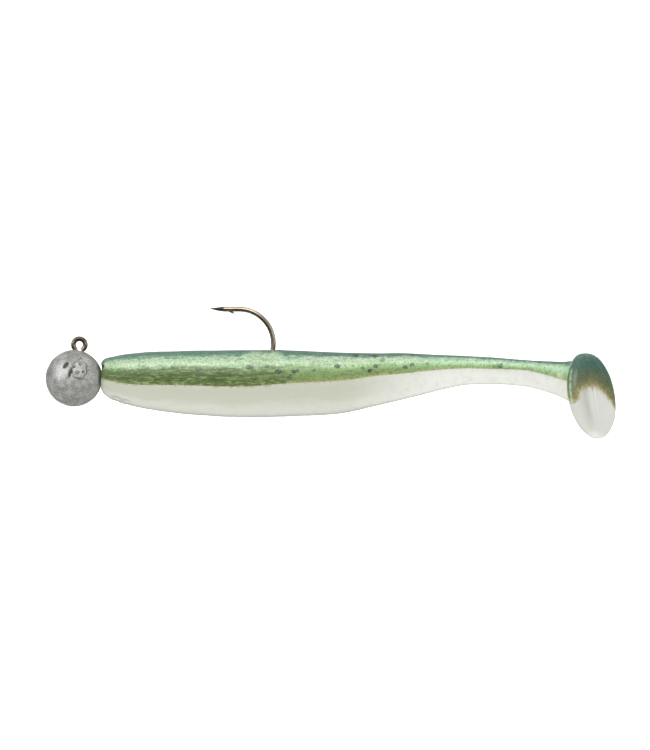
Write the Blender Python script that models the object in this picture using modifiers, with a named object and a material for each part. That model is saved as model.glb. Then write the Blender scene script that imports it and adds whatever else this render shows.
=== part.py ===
"""Paddle-tail swimbait rigged on a ball jig head, in metres.

The frame: the origin is the centre of the line eye, +X runs back to the tail, +Z is up (the side the
hook point is on), and the flank at -Y is the one that the rest pose curls the tail towards.

One wire makes the eye, shank, bend and point; one lead casting makes the ball and its keeper collar;
two pours of soft plastic, a green back on a pearl belly, make the body and its paddle. The two pours
are cut across into firm sections and short flex sections, with a hinge in the middle of each flex
section, so that the tail can bend from side to side as the soft plastic does.
"""

import math

import bmesh
import bpy
import numpy as np
from mathutils import Matrix, Vector

MM = 0.001
GAP = 0.3 * MM  # kept between pieces that touch on the real lure

# Lead head: a ball with a collar that the body is pushed onto.
BALL_RADIUS = 5.5 * MM
BALL_BELOW_EYE = 6.7 * MM
BALL_AHEAD_OF_EYE = 1.05 * MM
COLLAR_RADIUS = 1.2 * MM
COLLAR_END = 11.2 * MM  # from the ball's centre
RIDGE_HEIGHT = 0.3 * MM
RIDGE_LENGTH = 1.4 * MM
RIDGE_STARTS = (7.2 * MM, 9.2 * MM)

# Hook: one round wire, from the open eye to the needle point.
WIRE_RADIUS = 0.48 * MM
EYE_RADIUS = 1.19 * MM  # to the middle of the wire
EYE_OPEN_AT = math.radians(-38)  # where the ring's cut end stops, from +X
SHANK_ABOVE_CENTRE = 0.1 * MM
LEG_BEND_RADIUS = 1.3 * MM
BEND_RADIUS = 6.6 * MM
BEND_CENTRE = 32.2 * MM  # from the ball's centre
SPEAR_LENGTH = 5.6 * MM
NEEDLE_LENGTH = 2.7 * MM
NEEDLE_TIP_RADIUS = 0.07 * MM
BARB_FROM_TIP = 3.0 * MM
BARB_LENGTH = 1.4 * MM
BARB_LIFT = math.radians(24)

# Soft body. Each station: distance behind the ball's centre, half width, and the heights of the top,
# of the line between the two pours and of the bottom, from the ball's centre, in millimetres.
STATIONS_MM = (
    (5.5, 2.7, 3.3, -0.2, -2.5),
    (7.4, 3.7, 4.1, -0.6, -4.2),
    (12.0, 4.6, 4.9, -1.2, -5.6),
    (20.0, 5.2, 5.3, -1.3, -6.8),
    (32.0, 5.5, 5.5, -1.6, -7.6),
    (43.0, 5.3, 5.4, -0.9, -7.4),
    (52.5, 4.8, 5.0, -0.4, -6.8),
    (58.5, 4.2, 4.9, 0.4, -5.5),
    (64.0, 3.6, 4.9, 0.9, -4.4),
    (70.0, 2.9, 4.6, 1.5, -2.7),
    (76.0, 2.35, 4.4, 1.9, -1.35),
    (81.0, 2.1, 4.1, 1.8, -1.1),
    (88.5, 1.95, 3.4, 1.5, -1.7),
    (96.0, 1.9, 3.2, 0.2, -3.8),
)
NOSE = 5.5 * MM
SECTION_FULLNESS = 0.87  # 1 is an ellipse, less is squarer
ARC_POINTS = 15
STATION_STEP = 1.6 * MM

# Sections along the body, front to back: each flex section bends, and the ones between stay firm.
FIRM_NAMES = ("front", "mid", "rear", "stem_front", "stem_rear")
FLEX_NAMES = ("mid_flex", "rear_flex", "stem_flex", "tail_flex", "paddle_flex")
FIRST_FLEX = 44.0 * MM
FLEX_LENGTH = 6.3 * MM
FLEX_PITCH = 11.0 * MM
# How far each flex section is bent towards -Y at rest, from the straight shape the mould gives.
REST_BENDS = tuple(math.radians(a) for a in (0, 0, 6, 6, 24))

# Paddle: an oval disc across the tail, on a gusset that grows out of the stem.
PADDLE_AT = 103.5 * MM  # the disc's middle, along the body from the ball's centre
PADDLE_MIDDLE = -3.4 * MM  # the disc's middle, above the ball's centre
PADDLE_HALF_HEIGHT = 8.25 * MM
PADDLE_HALF_WIDTH = 6.6 * MM
PADDLE_HALF_THICKNESS = 1.1 * MM
PADDLE_PITCH = math.radians(11)  # its lower edge is further back
PADDLE_RING_POINTS = 36
PADDLE_EDGE_STEPS = 6
ARCH_TOP = -1.3 * MM  # the pearl pour rises to here in the disc's middle
ARCH_DROP = 3.9 * MM  # and is this much lower at the disc's edges
ARCH_SLOPE = math.radians(-12)
ARCH_POINTS = 17

# The two pours: name, the side of the line they are on, and colour.
POURS = (("top", 1, "green_pearl"), ("belly", -1, "pearl_white"))
COLOURS = {
    "lead": ((0.30, 0.30, 0.29), 0.55, 0.8),
    "nickel": ((0.10, 0.085, 0.075), 0.28, 1.0),
    "green_pearl": ((0.20, 0.36, 0.16), 0.30, 0.35),
    "pearl_white": ((0.72, 0.73, 0.68), 0.32, 0.0),
}

FLEX_ZONES = tuple(
    (FIRST_FLEX + i * FLEX_PITCH, FIRST_FLEX + i * FLEX_PITCH + FLEX_LENGTH)
    for i in range(len(FLEX_NAMES))
)
BALL_CENTRE = Vector((-BALL_AHEAD_OF_EYE, 0, -BALL_BELOW_EYE))


def clear_scene():
    for obj in list(bpy.data.objects):
        bpy.data.objects.remove(obj)


def new_collection(name):
    collection = bpy.data.collections.new(name)
    bpy.context.scene.collection.children.link(collection)
    return collection


def material(name):
    found = bpy.data.materials.get(name)
    if found:
        return found
    colour, roughness, metallic = COLOURS[name]
    made = bpy.data.materials.new(name)
    made.use_nodes = True
    shader = made.node_tree.nodes["Principled BSDF"]
    shader.inputs["Base Color"].default_value = (*colour, 1)
    shader.inputs["Roughness"].default_value = roughness
    shader.inputs["Metallic"].default_value = metallic
    return made


def add_object(name, mesh, collection, material_name=None):
    obj = bpy.data.objects.new(name, mesh)
    collection.objects.link(obj)
    if material_name:
        mesh.materials.clear()
        mesh.materials.append(material(material_name))
    return obj


def add_cutter(name, mesh, collection):
    cutter = add_object(name, mesh, collection)
    cutter.hide_render = True
    cutter.display_type = "WIRE"
    return cutter


def cut(obj, cutter, operation="DIFFERENCE"):
    modifier = obj.modifiers.new(cutter.name, "BOOLEAN")
    modifier.operation = operation
    modifier.object = cutter


def smooth_step(value, start, end):
    t = np.clip((value - start) / (end - start), 0, 1)
    return t * t * (3 - 2 * t)


# The spine: straight at the front, then turned towards -Y by each flex section's bend at rest.
SPINE_STEPS = np.linspace(0, 110 * MM, 1101)


def spine_heading(distance):
    turned = [
        bend * smooth_step(distance, *zone)
        for bend, zone in zip(REST_BENDS, FLEX_ZONES)
    ]
    return -sum(turned)


def spine_positions():
    headings = spine_heading(SPINE_STEPS)
    step = SPINE_STEPS[1]
    middle = (headings[1:] + headings[:-1]) / 2
    along = np.concatenate([[0], np.cumsum(np.cos(middle) * step)])
    across = np.concatenate([[0], np.cumsum(np.sin(middle) * step)])
    return along, across


SPINE_X, SPINE_Y = spine_positions()


def on_body(distance, sideways, height):
    """The point that lies sideways of the spine, at a height from the ball's centre."""
    heading = float(spine_heading(distance))
    x = float(np.interp(distance, SPINE_STEPS, SPINE_X))
    y = float(np.interp(distance, SPINE_STEPS, SPINE_Y))
    local = Vector((x - math.sin(heading) * sideways, y + math.cos(heading) * sideways, height))
    return BALL_CENTRE + local


def section_sizes(distance):
    """Half width, top, seam and bottom at a distance along the body, on a smooth curve."""
    table = np.array(STATIONS_MM) * MM
    places = table[:, 0]
    slopes = np.gradient(table[:, 1:], places, axis=0)
    i = int(np.clip(np.searchsorted(places, distance) - 1, 0, len(places) - 2))
    span = places[i + 1] - places[i]
    t = (distance - places[i]) / span
    start_weight = 2 * t**3 - 3 * t**2 + 1
    start_slope = (t**3 - 2 * t**2 + t) * span
    end_slope = (t**3 - t**2) * span
    return (
        start_weight * table[i, 1:]
        + (1 - start_weight) * table[i + 1, 1:]
        + start_slope * slopes[i]
        + end_slope * slopes[i + 1]
    )


def half_section(distance, side):
    """The outline of one pour across the body: side 1 is the top, and -1 the belly."""
    half_width, top, seam, bottom = section_sizes(distance)
    edge = seam + side * GAP / 2
    crest = top if side > 0 else bottom
    points = []
    for i in range(ARC_POINTS):
        angle = math.pi * i / (ARC_POINTS - 1)
        across = math.copysign(abs(math.cos(angle)) ** SECTION_FULLNESS, math.cos(angle))
        rise = max(math.sin(angle), 0) ** SECTION_FULLNESS
        points.append(on_body(distance, half_width * across, edge + (crest - edge) * rise))
    return points


def loft(name, rings):
    """A closed mesh through rings of the same number of points, with flat ends."""
    mesh = bpy.data.meshes.new(name)
    shape = bmesh.new()
    loops = [[shape.verts.new(p) for p in ring] for ring in rings]
    count = len(loops[0])
    for before, after in zip(loops, loops[1:]):
        for i in range(count):
            j = (i + 1) % count
            shape.faces.new((before[i], before[j], after[j], after[i]))
    shape.faces.new(loops[0])
    shape.faces.new(loops[-1])
    bmesh.ops.recalc_face_normals(shape, faces=shape.faces)
    shape.to_mesh(mesh)
    shape.free()
    mesh.shade_smooth()
    mesh.set_sharp_from_angle(angle=math.radians(40))
    return mesh


def add_section(label, start, end, collection):
    """Both pours of the body from start to end, set back from their neighbours by the gap."""
    steps = max(2, math.ceil((end - start) / STATION_STEP))
    places = np.linspace(start, end, steps + 1)
    made = []
    for pour, side, colour in POURS:
        name = f"{label}_{pour}"
        rings = [half_section(place, side) for place in places]
        made.append(add_object(name, loft(name, rings), collection, colour))
    return made


def add_body(collection):
    """All firm and flex sections up to the paddle. Returns the two pours of the front section."""
    front = None
    start = NOSE
    for firm, flex, zone in zip(FIRM_NAMES, FLEX_NAMES, FLEX_ZONES):
        made = add_section(firm, start, zone[0] - GAP, collection)
        front = front or made
        add_section(flex, zone[0], zone[1], collection)
        start = zone[1] + GAP
    return front


def tube_mesh(name, points, radii):
    """A round wire through the points, with its own radius at each, as a closed mesh."""
    data = bpy.data.curves.new(name, "CURVE")
    data.dimensions = "3D"
    data.bevel_depth = 1.0
    data.bevel_resolution = 2
    data.use_fill_caps = True
    spline = data.splines.new("POLY")
    spline.points.add(len(points) - 1)
    for place, point, radius in zip(spline.points, points, radii):
        place.co = (*point, 1)
        place.radius = radius
    curve = bpy.data.objects.new(name, data)
    bpy.context.scene.collection.objects.link(curve)
    bpy.context.view_layer.update()
    evaluated = curve.evaluated_get(bpy.context.evaluated_depsgraph_get())
    mesh = bpy.data.meshes.new_from_object(evaluated)
    bpy.data.objects.remove(curve)
    shape = bmesh.new()
    shape.from_mesh(mesh)
    bmesh.ops.remove_doubles(shape, verts=shape.verts, dist=0.01 * MM)
    bmesh.ops.recalc_face_normals(shape, faces=shape.faces)
    shape.to_mesh(mesh)
    shape.free()
    mesh.name = name
    mesh.shade_smooth()
    mesh.set_sharp_from_angle(angle=math.radians(50))
    return mesh


def arc(centre_x, centre_z, radius, start, end, count):
    """Points along an arc in the plane Y = 0, from start to end, angles from +X towards +Z."""
    angles = [start + (end - start) * i / (count - 1) for i in range(count)]
    return [
        Vector((centre_x + radius * math.cos(a), 0, centre_z + radius * math.sin(a))) for a in angles
    ]


def shank_height():
    return BALL_CENTRE.z + SHANK_ABOVE_CENTRE


def leg_points():
    """The leg that goes down from the eye into the ball and turns back along the shank."""
    corner_x = -EYE_RADIUS + LEG_BEND_RADIUS
    corner_z = shank_height() + LEG_BEND_RADIUS
    return arc(corner_x, corner_z, LEG_BEND_RADIUS, math.pi, math.pi * 1.5, 7)


def bend_points():
    centre_x = BALL_CENTRE.x + BEND_CENTRE
    return arc(centre_x, shank_height() + BEND_RADIUS, BEND_RADIUS, -math.pi / 2, math.pi / 2, 19)


def barb_mesh():
    """A slim cone on the inside of the spear, its tip lifted and pointing back from the point."""
    mesh = bpy.data.meshes.new("barb")
    shape = bmesh.new()
    bmesh.ops.create_cone(
        shape,
        cap_ends=True,
        segments=10,
        radius1=WIRE_RADIUS * 0.62,
        radius2=WIRE_RADIUS * 0.08,
        depth=BARB_LENGTH,
    )
    spear_top = shank_height() + 2 * BEND_RADIUS
    tip_x = BALL_CENTRE.x + BEND_CENTRE - SPEAR_LENGTH
    root = Vector((tip_x + BARB_FROM_TIP, 0, spear_top - WIRE_RADIUS * 0.45))
    leaning = Matrix.Rotation(math.pi / 2 + BARB_LIFT, 4, "Y")
    forward = Matrix.Translation((0, 0, BARB_LENGTH / 2))
    shape.transform(Matrix.Translation(root) @ leaning @ forward)
    shape.to_mesh(mesh)
    shape.free()
    return mesh


def add_hook(collection, cutters):
    eye = arc(0, 0, EYE_RADIUS, EYE_OPEN_AT, math.pi, 17)
    bend = bend_points()
    spear_end = bend[-1] - Vector((SPEAR_LENGTH - NEEDLE_LENGTH, 0, 0))
    tip = bend[-1] - Vector((SPEAR_LENGTH, 0, 0))
    points = eye + leg_points() + bend + [spear_end, tip]
    radii = [WIRE_RADIUS] * (len(points) - 1) + [NEEDLE_TIP_RADIUS]
    hook = add_object("jig_hook", tube_mesh("jig_hook", points, radii), collection, "nickel")
    cut(hook, add_cutter("barb", barb_mesh(), cutters), "UNION")
    return hook


def channel_cutter(cutters):
    """The way that the wire takes through the lead and the body, with the gap all round."""
    above = Vector((-EYE_RADIUS, 0, 3 * MM))
    bend = bend_points()[:13]
    last = bend[-1] + (bend[-1] - bend[-2]).normalized() * 4 * MM
    points = [above] + leg_points() + bend + [last]
    radii = [WIRE_RADIUS + GAP] * len(points)
    return add_cutter("wire_channel", tube_mesh("wire_channel", points, radii), cutters)


def head_profile():
    """Half outline of the ball and collar, from the collar's end down to the ball's front pole."""
    points = [(0, COLLAR_END), (COLLAR_RADIUS - 0.2 * MM, COLLAR_END)]
    points.append((COLLAR_RADIUS, COLLAR_END - 0.3 * MM))
    for start in reversed(RIDGE_STARTS):
        points.append((COLLAR_RADIUS, start + RIDGE_LENGTH))
        points.append((COLLAR_RADIUS + RIDGE_HEIGHT, start))
        points.append((COLLAR_RADIUS, start - 0.1 * MM))
    first = math.acos(COLLAR_RADIUS / BALL_RADIUS)
    count = 22
    for i in range(count):
        angle = first + (-math.pi / 2 - first) * i / (count - 1)
        radius = 0 if i == count - 1 else BALL_RADIUS * math.cos(angle)
        points.append((radius, BALL_RADIUS * math.sin(angle)))
    return points


def add_head(collection, channel):
    """The lead casting, turned about the shank's axis, with the wire's channel through it."""
    mesh = bpy.data.meshes.new("lead_head")
    profile = head_profile()
    edges = [(i, i + 1) for i in range(len(profile) - 1)]
    mesh.from_pydata([(r, 0, z) for r, z in profile], edges, [])
    head = add_object("lead_head", mesh, collection, "lead")
    head.location = BALL_CENTRE
    head.rotation_euler = (0, math.pi / 2, 0)
    screw = head.modifiers.new("turn", "SCREW")
    screw.steps = 36
    screw.render_steps = 36
    screw.use_merge_vertices = True
    screw.merge_threshold = 0.00001
    screw.use_smooth_shade = True
    cut(head, channel)
    return head


def collar_cutter(cutters):
    """The pocket in the nose that the collar sits in."""
    mesh = bpy.data.meshes.new("collar_pocket")
    length = COLLAR_END + GAP
    radius = COLLAR_RADIUS + RIDGE_HEIGHT + GAP
    shape = bmesh.new()
    bmesh.ops.create_cone(
        shape, cap_ends=True, segments=28, radius1=radius, radius2=radius, depth=length
    )
    place = Matrix.Translation(BALL_CENTRE + Vector((length / 2, 0, 0)))
    shape.transform(place @ Matrix.Rotation(math.pi / 2, 4, "Y"))
    shape.to_mesh(mesh)
    shape.free()
    return add_cutter("collar_pocket", mesh, cutters)


def paddle_ring(distance, half_width, top, bottom, tilt_share):
    """An oval across the tail; a tilted one leans with the disc, its lower edge further back."""
    middle = (top + bottom) / 2
    half_height = (top - bottom) / 2
    lean = math.tan(PADDLE_PITCH) * tilt_share
    points = []
    for i in range(PADDLE_RING_POINTS):
        angle = 2 * math.pi * i / PADDLE_RING_POINTS
        height = middle + half_height * math.sin(angle)
        back = distance - (height - PADDLE_MIDDLE) * lean
        points.append(on_paddle(back, half_width * math.cos(angle), height))
    return points


def on_paddle(distance, sideways, height):
    """A point in the straight stretch behind the last flex section."""
    start = FLEX_ZONES[-1][1]
    heading = float(spine_heading(start))
    ahead = Vector((math.cos(heading), math.sin(heading), 0))
    return on_body(start, sideways, height) + ahead * (distance - start)


def paddle_mesh(name):
    root = FLEX_ZONES[-1][1] + GAP
    half_width, top, _, bottom = section_sizes(root)
    rings = [paddle_ring(root, half_width, top, bottom, 0)]
    rings.append(paddle_ring(98.2 * MM, 2.1 * MM, 3.3 * MM, -4.9 * MM, 0.4))
    rings.append(paddle_ring(100.8 * MM, 2.9 * MM, 3.5 * MM, -7.2 * MM, 0.8))
    for i in range(PADDLE_EDGE_STEPS + 1):
        angle = math.pi * (i / PADDLE_EDGE_STEPS - 0.5)
        inset = PADDLE_HALF_THICKNESS * (1 - math.cos(angle))
        rings.append(
            paddle_ring(
                PADDLE_AT + PADDLE_HALF_THICKNESS * math.sin(angle),
                PADDLE_HALF_WIDTH - inset,
                PADDLE_MIDDLE + PADDLE_HALF_HEIGHT - inset,
                PADDLE_MIDDLE - PADDLE_HALF_HEIGHT + inset,
                1,
            )
        )
    return loft(name, rings)


def arch_cutter(name, side, cutters):
    """A block above (1) or below (-1) the arch between the paddle's two pours, past the gap."""
    reach = PADDLE_HALF_WIDTH * 1.3
    start = FLEX_ZONES[-1][1] - 2 * MM
    end = PADDLE_AT + 6 * MM
    far_edge = PADDLE_MIDDLE + side * PADDLE_HALF_HEIGHT * 2
    rings = []
    for place in (start, end):
        shift = (place - PADDLE_AT) * math.tan(ARCH_SLOPE)
        ring = []
        for i in range(ARCH_POINTS):
            sideways = reach * (2 * i / (ARCH_POINTS - 1) - 1)
            drop = ARCH_DROP * (sideways / PADDLE_HALF_WIDTH) ** 2
            height = ARCH_TOP + shift - drop - side * GAP / 2
            ring.append(on_paddle(place, sideways, height))
        ring.append(on_paddle(place, reach, far_edge))
        ring.append(on_paddle(place, -reach, far_edge))
        rings.append(ring)
    return add_cutter(name, loft(name, rings), cutters)


def add_paddle(collection, cutters):
    for pour, side, colour in POURS:
        name = f"paddle_{pour}"
        half = add_object(name, paddle_mesh(name), collection, colour)
        cut(half, arch_cutter(f"arch_past_{pour}", -side, cutters))


def main():
    clear_scene()
    lure = new_collection("swimbait")
    cutters = new_collection("cutters")
    add_hook(lure, cutters)
    channel = channel_cutter(cutters)
    pocket = collar_cutter(cutters)
    add_head(lure, channel)
    front_top, front_belly = add_body(lure)
    cut(front_top, channel)
    cut(front_top, pocket)
    cut(front_belly, pocket)
    add_paddle(lure, cutters)


main()
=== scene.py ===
import math

import bmesh
import bpy
import numpy as np
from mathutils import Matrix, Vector, noise


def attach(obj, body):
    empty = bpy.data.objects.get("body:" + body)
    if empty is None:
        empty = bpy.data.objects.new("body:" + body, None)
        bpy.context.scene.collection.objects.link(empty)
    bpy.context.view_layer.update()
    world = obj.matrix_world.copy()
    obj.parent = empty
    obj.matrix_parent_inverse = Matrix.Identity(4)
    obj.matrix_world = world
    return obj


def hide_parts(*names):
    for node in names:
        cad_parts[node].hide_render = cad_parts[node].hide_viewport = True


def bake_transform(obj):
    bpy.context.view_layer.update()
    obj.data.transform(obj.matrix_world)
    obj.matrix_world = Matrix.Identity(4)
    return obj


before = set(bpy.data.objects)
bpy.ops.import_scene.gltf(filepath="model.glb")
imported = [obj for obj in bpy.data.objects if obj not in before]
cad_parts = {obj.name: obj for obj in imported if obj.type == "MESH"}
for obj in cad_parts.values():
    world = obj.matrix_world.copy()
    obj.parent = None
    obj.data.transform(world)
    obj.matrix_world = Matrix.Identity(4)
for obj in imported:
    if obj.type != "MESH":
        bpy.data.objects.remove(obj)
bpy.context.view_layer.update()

# Looks of a paddle-tail swimbait on a ball jig head. Shapes are worked out in millimetres in the
# straight lure as it leaves its mould: distance behind the ball's centre, sideways, and height above the
# ball's centre. to_row() then curls the tail as it rests and puts everything in the row frame, in metres.

MM = 0.001
BALL_CENTRE = np.array((-1.05, 0, -6.7))  # from the line eye's centre, which is the row frame's origin

# ---- soft body

# Distance, half width, and heights of the back, of the line between the two pours and of the belly.
STATIONS = (
    (5.34, 2.3, 3.0, -0.15, -2.2),
    (5.6, 2.75, 3.45, -0.2, -2.75),
    (6.4, 3.3, 3.95, -0.35, -3.5),
    (7.4, 3.7, 4.15, -0.55, -4.2),
    (9.0, 4.15, 4.5, -0.85, -4.85),
    (12.0, 4.6, 4.9, -1.2, -5.55),
    (15.5, 4.95, 5.15, -1.3, -6.2),
    (20.0, 5.2, 5.3, -1.3, -6.8),
    (26.0, 5.4, 5.4, -1.5, -7.3),
    (32.0, 5.5, 5.5, -1.6, -7.6),
    (43.0, 5.3, 5.4, -0.9, -7.4),
    (52.5, 4.8, 5.0, -0.4, -6.8),
    (58.5, 4.2, 4.9, 0.4, -5.5),
    (64.0, 3.6, 4.9, 0.9, -4.2),
    (70.0, 2.9, 4.6, 1.5, -2.7),
    (76.0, 2.35, 4.35, 1.9, -1.35),
    (81.0, 2.1, 4.1, 1.8, -1.15),
    (88.5, 1.95, 3.5, 1.5, -1.7),
    (94.6, 1.9, 3.2, 0.5, -3.2),
)
SECTION_FULLNESS = 0.87  # 1 is an ellipse, less is squarer
AROUND = 112
ROW_STEP = 0.42
FINE_ROW_STEP = 0.2
NOSE_END = 9.0  # rows are closer together up to here
WIRE_STRETCH = (36.5, 41.0)  # and along here, where the wire leaves the back
NOSE_FACE = STATIONS[0][0]
STEM_END = STATIONS[-1][0]

# The pocket that the collar sits in, from its closed end to its mouth: distance and radius.
COLLAR_POCKET = ((11.6, 0.02), (11.6, 1.3), (11.2, 1.8), (9.0, 1.8), (6.6, 1.8), (5.9, 1.8))
POCKET_MOUTH = (5.64, 1.95)

# Flex zones, each with a hinge in its middle, and how far each is bent towards -Y at rest.
FLEX_ZONES = tuple((44.0 + 11.0 * i, 50.3 + 11.0 * i) for i in range(5))
REST_BENDS = tuple(math.radians(a) for a in (0, 0, 6, 6, 24))
# The CAD sections, front to back, by the piece of the skin that stands for them.
SECTIONS = (
    ("front", "mid_flex"),
    ("mid", "rear_flex"),
    ("rear", "stem_flex"),
    ("stem_front", "tail_flex"),
    ("stem_rear", "paddle_flex", "paddle"),
)
CUTS = tuple((a[1] + b[0]) / 2 for a, b in zip(FLEX_ZONES, FLEX_ZONES[1:]))

# Paddle: an oval disc across the tail, leaning back towards its lower edge.
PADDLE_AT = 102.75
PADDLE_MIDDLE = -3.4
PADDLE_HALF_HEIGHT = 8.25
PADDLE_HALF_WIDTH = 7.0
PADDLE_HALF_THICKNESS = 1.4
PADDLE_TOP = PADDLE_MIDDLE + PADDLE_HALF_HEIGHT
PADDLE_BOTTOM = PADDLE_MIDDLE - PADDLE_HALF_HEIGHT
PADDLE_POINTED = 0.2  # how much it narrows towards its lowest point
PADDLE_PITCH = math.radians(9.5)
RIM_FULLNESS = 0.75  # 1 is a half round rim, less is squarer
DISH_DEPTH = 0.3  # of the disc's rear face
CREASE_AT = -0.6  # sideways, on the rear face
CREASE_DEPTH = 0.12
RIM_STEPS = 21
FACE_STEPS = 24

# From the stem to the disc: distance, half width, heights of top and bottom, and share of the lean.
GUSSET = (
    (96.4, 1.95, 3.2, -3.95, 0.15),
    (98.2, 2.1, 3.3, -4.9, 0.4),
    (99.2, 2.4, 3.35, -5.8, 0.6),
    (100.1, 2.9, 3.45, -7.0, 0.8),
    (100.8, 3.7, 3.5, -8.3, 0.9),
    (101.2, 4.6, 3.5, -9.3, 0.97),
)
GUSSET_STEPS = 4  # rows for each row of the table

# The line between the pours is an arch over the paddle, which drops at both sides.
ARCH_TOP = -1.45
ARCH_NEAR_DROP = 3.5  # steep, close to the near rim
ARCH_NEAR_POWER = 9
ARCH_FAR_DROP = 5.8  # a longer slope towards the far rim
ARCH_FAR_POWER = 1.9
ARCH_SLOPE = math.radians(-12)

# Where heights go over from the body's to the disc's: of the line, of the back and of the belly.
ARCH_BEGINS = (92.5, 96.5)
DISC_TOP_BEGINS = (99.5, 101.5)
DISC_BOTTOM_BEGINS = (95, 101.5)

# Marks that moulding and rigging left.
NOTCH_AT = (5.3, -2.0, 2.3)  # in the rim of the nose
WIRE_LEAVES = (38.65, 0, 5.5)
CHIN_FOLDS = ((-3.7, 0.16), (-4.3, 0.2), (-4.85, 0.16))  # height at CHIN_AT, and depth
CHIN_AT = 8.5
CHIN_BEGINS = (6.8, 7.8)
CHIN_ENDS = (10, 12.5)
CHIN_FOLD_WIDTH = 0.24
CHIN_FALL = 0.34  # in height, over each millimetre along
CHIN_WAVE_HEIGHT = 0.12
CHIN_WAVE_RATE = 3.1
CHIN_WAVE_SHIFT = 5  # so that the folds don't wave together
SKIN_WAVES = (((0.22, 0.5, 0.5), 0.05),)  # waves for unevenness()


def smooth_step(value, start, end):
    t = np.clip((value - start) / (end - start), 0, 1)
    return t * t * (3 - 2 * t)


def hump(value, middle, width):
    """1 where a value is at the middle, falling away on both sides."""
    return np.exp(-(((value - middle) / width) ** 2))


SPINE_STEPS = np.linspace(-10, 115, 1251)


def spine_heading(distance):
    return -sum(bend * smooth_step(distance, *zone) for bend, zone in zip(REST_BENDS, FLEX_ZONES))


def spine_positions():
    headings = spine_heading(SPINE_STEPS)
    step = SPINE_STEPS[1] - SPINE_STEPS[0]
    middle = (headings[1:] + headings[:-1]) / 2
    along = np.concatenate([[0], np.cumsum(np.cos(middle) * step)]) + SPINE_STEPS[0]
    across = np.concatenate([[0], np.cumsum(np.sin(middle) * step)])
    return along, across


SPINE_X, SPINE_Y = spine_positions()


def to_row(points):
    """Points of the straight lure, in millimetres, as they rest in the row frame, in metres."""
    points = np.asarray(points, float)
    distance, sideways, height = points[..., 0], points[..., 1], points[..., 2]
    heading = spine_heading(distance)
    x = np.interp(distance, SPINE_STEPS, SPINE_X) - np.sin(heading) * sideways
    y = np.interp(distance, SPINE_STEPS, SPINE_Y) + np.cos(heading) * sideways
    return (np.stack([x, y, height], axis=-1) + BALL_CENTRE) * MM


def curve_between(table, slopes, i, t):
    """The numbers a part t of the way from row i of a table to the next row, on a smooth curve."""
    span = table[i + 1, 0] - table[i, 0]
    weight = 2 * t**3 - 3 * t**2 + 1
    return (
        weight * table[i]
        + (1 - weight) * table[i + 1]
        + (t**3 - 2 * t**2 + t) * span * slopes[i]
        + (t**3 - t**2) * span * slopes[i + 1]
    )


def smooth_rows(table, count):
    """Rows of numbers on a smooth curve through a table whose first column is the distance."""
    table = np.array(table)
    slopes = np.gradient(table, table[:, 0], axis=0)
    parts = np.arange(count) / count
    found = [curve_between(table, slopes, i, t) for i in range(len(table) - 1) for t in parts]
    return found + [table[-1]]


STATION_TABLE = np.array(STATIONS)
STATION_SLOPES = np.gradient(STATION_TABLE, STATION_TABLE[:, 0], axis=0)


def section_sizes(distance):
    """Half width, back, line and belly at a distance along the body."""
    places = STATION_TABLE[:, 0]
    i = int(np.clip(np.searchsorted(places, distance) - 1, 0, len(places) - 2))
    t = (distance - places[i]) / (places[i + 1] - places[i])
    return curve_between(STATION_TABLE, STATION_SLOPES, i, t)[1:]


PROFILE_PLACES = np.linspace(NOSE_FACE, STEM_END, 300)
PROFILES = np.array([section_sizes(place) for place in PROFILE_PLACES])
BACK, LINE, BELLY = 1, 2, 3  # columns of the profiles


def turn(count):
    """Angles of evenly spaced points, once around."""
    return 2 * np.pi * np.arange(count) / count


ANGLES = turn(AROUND)


def full_section(distance):
    """The whole outline of the body at a distance, widest at the line between the pours."""
    half_width, top, line, bottom = section_sizes(distance)
    across = np.sign(np.cos(ANGLES)) * np.abs(np.cos(ANGLES)) ** SECTION_FULLNESS
    rise = np.sign(np.sin(ANGLES)) * np.abs(np.sin(ANGLES)) ** SECTION_FULLNESS
    height = line + np.where(rise > 0, top - line, line - bottom) * rise
    return np.stack([np.full(AROUND, distance), half_width * across, height], axis=-1)


def circle(distance, radius, angles=ANGLES):
    points = [np.full(len(angles), distance), radius * np.cos(angles), radius * np.sin(angles)]
    return np.stack(points, axis=-1)


def nose_rows():
    """The pocket that the collar sits in, and the blunt face around it."""
    rows = [circle(*ring) for ring in COLLAR_POCKET]
    mouth = circle(*POCKET_MOUTH)
    rim = full_section(NOSE_FACE)
    for share in (0, 0.25, 0.5, 0.75, 0.9):
        rows.append(mouth + (rim - mouth) * share)
    return rows


def body_places():
    """Distances of the body's rows: closer together at the nose and round the hook, one on each cut."""
    stops = [NOSE_FACE, NOSE_END, *WIRE_STRETCH, *CUTS, STEM_END]
    steps = [FINE_ROW_STEP, ROW_STEP, FINE_ROW_STEP] + [ROW_STEP] * (len(CUTS) + 1)
    places = [NOSE_FACE]
    for start, end, step in zip(stops, stops[1:], steps):
        count = max(1, round((end - start) / step))
        places.extend(start + (end - start) * (i + 1) / count for i in range(count))
    return places


def paddle_outline(distance, half_width, top, bottom, lean_share):
    """An oval across the tail, a little pointed below, leaning back towards its lower edge."""
    middle = (top + bottom) / 2
    rise = np.sin(ANGLES)
    narrowed = 1 - PADDLE_POINTED * lean_share * np.clip(-rise, 0, 1) ** 4
    height = middle + (top - bottom) / 2 * rise
    back = distance - (height - PADDLE_MIDDLE) * math.tan(PADDLE_PITCH) * lean_share
    return np.stack([back, half_width * np.cos(ANGLES) * narrowed, height], axis=-1)


def disc_outline(distance, inset):
    half_width = PADDLE_HALF_WIDTH - inset
    return paddle_outline(distance, half_width, PADDLE_TOP - inset, PADDLE_BOTTOM + inset, 1)


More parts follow.
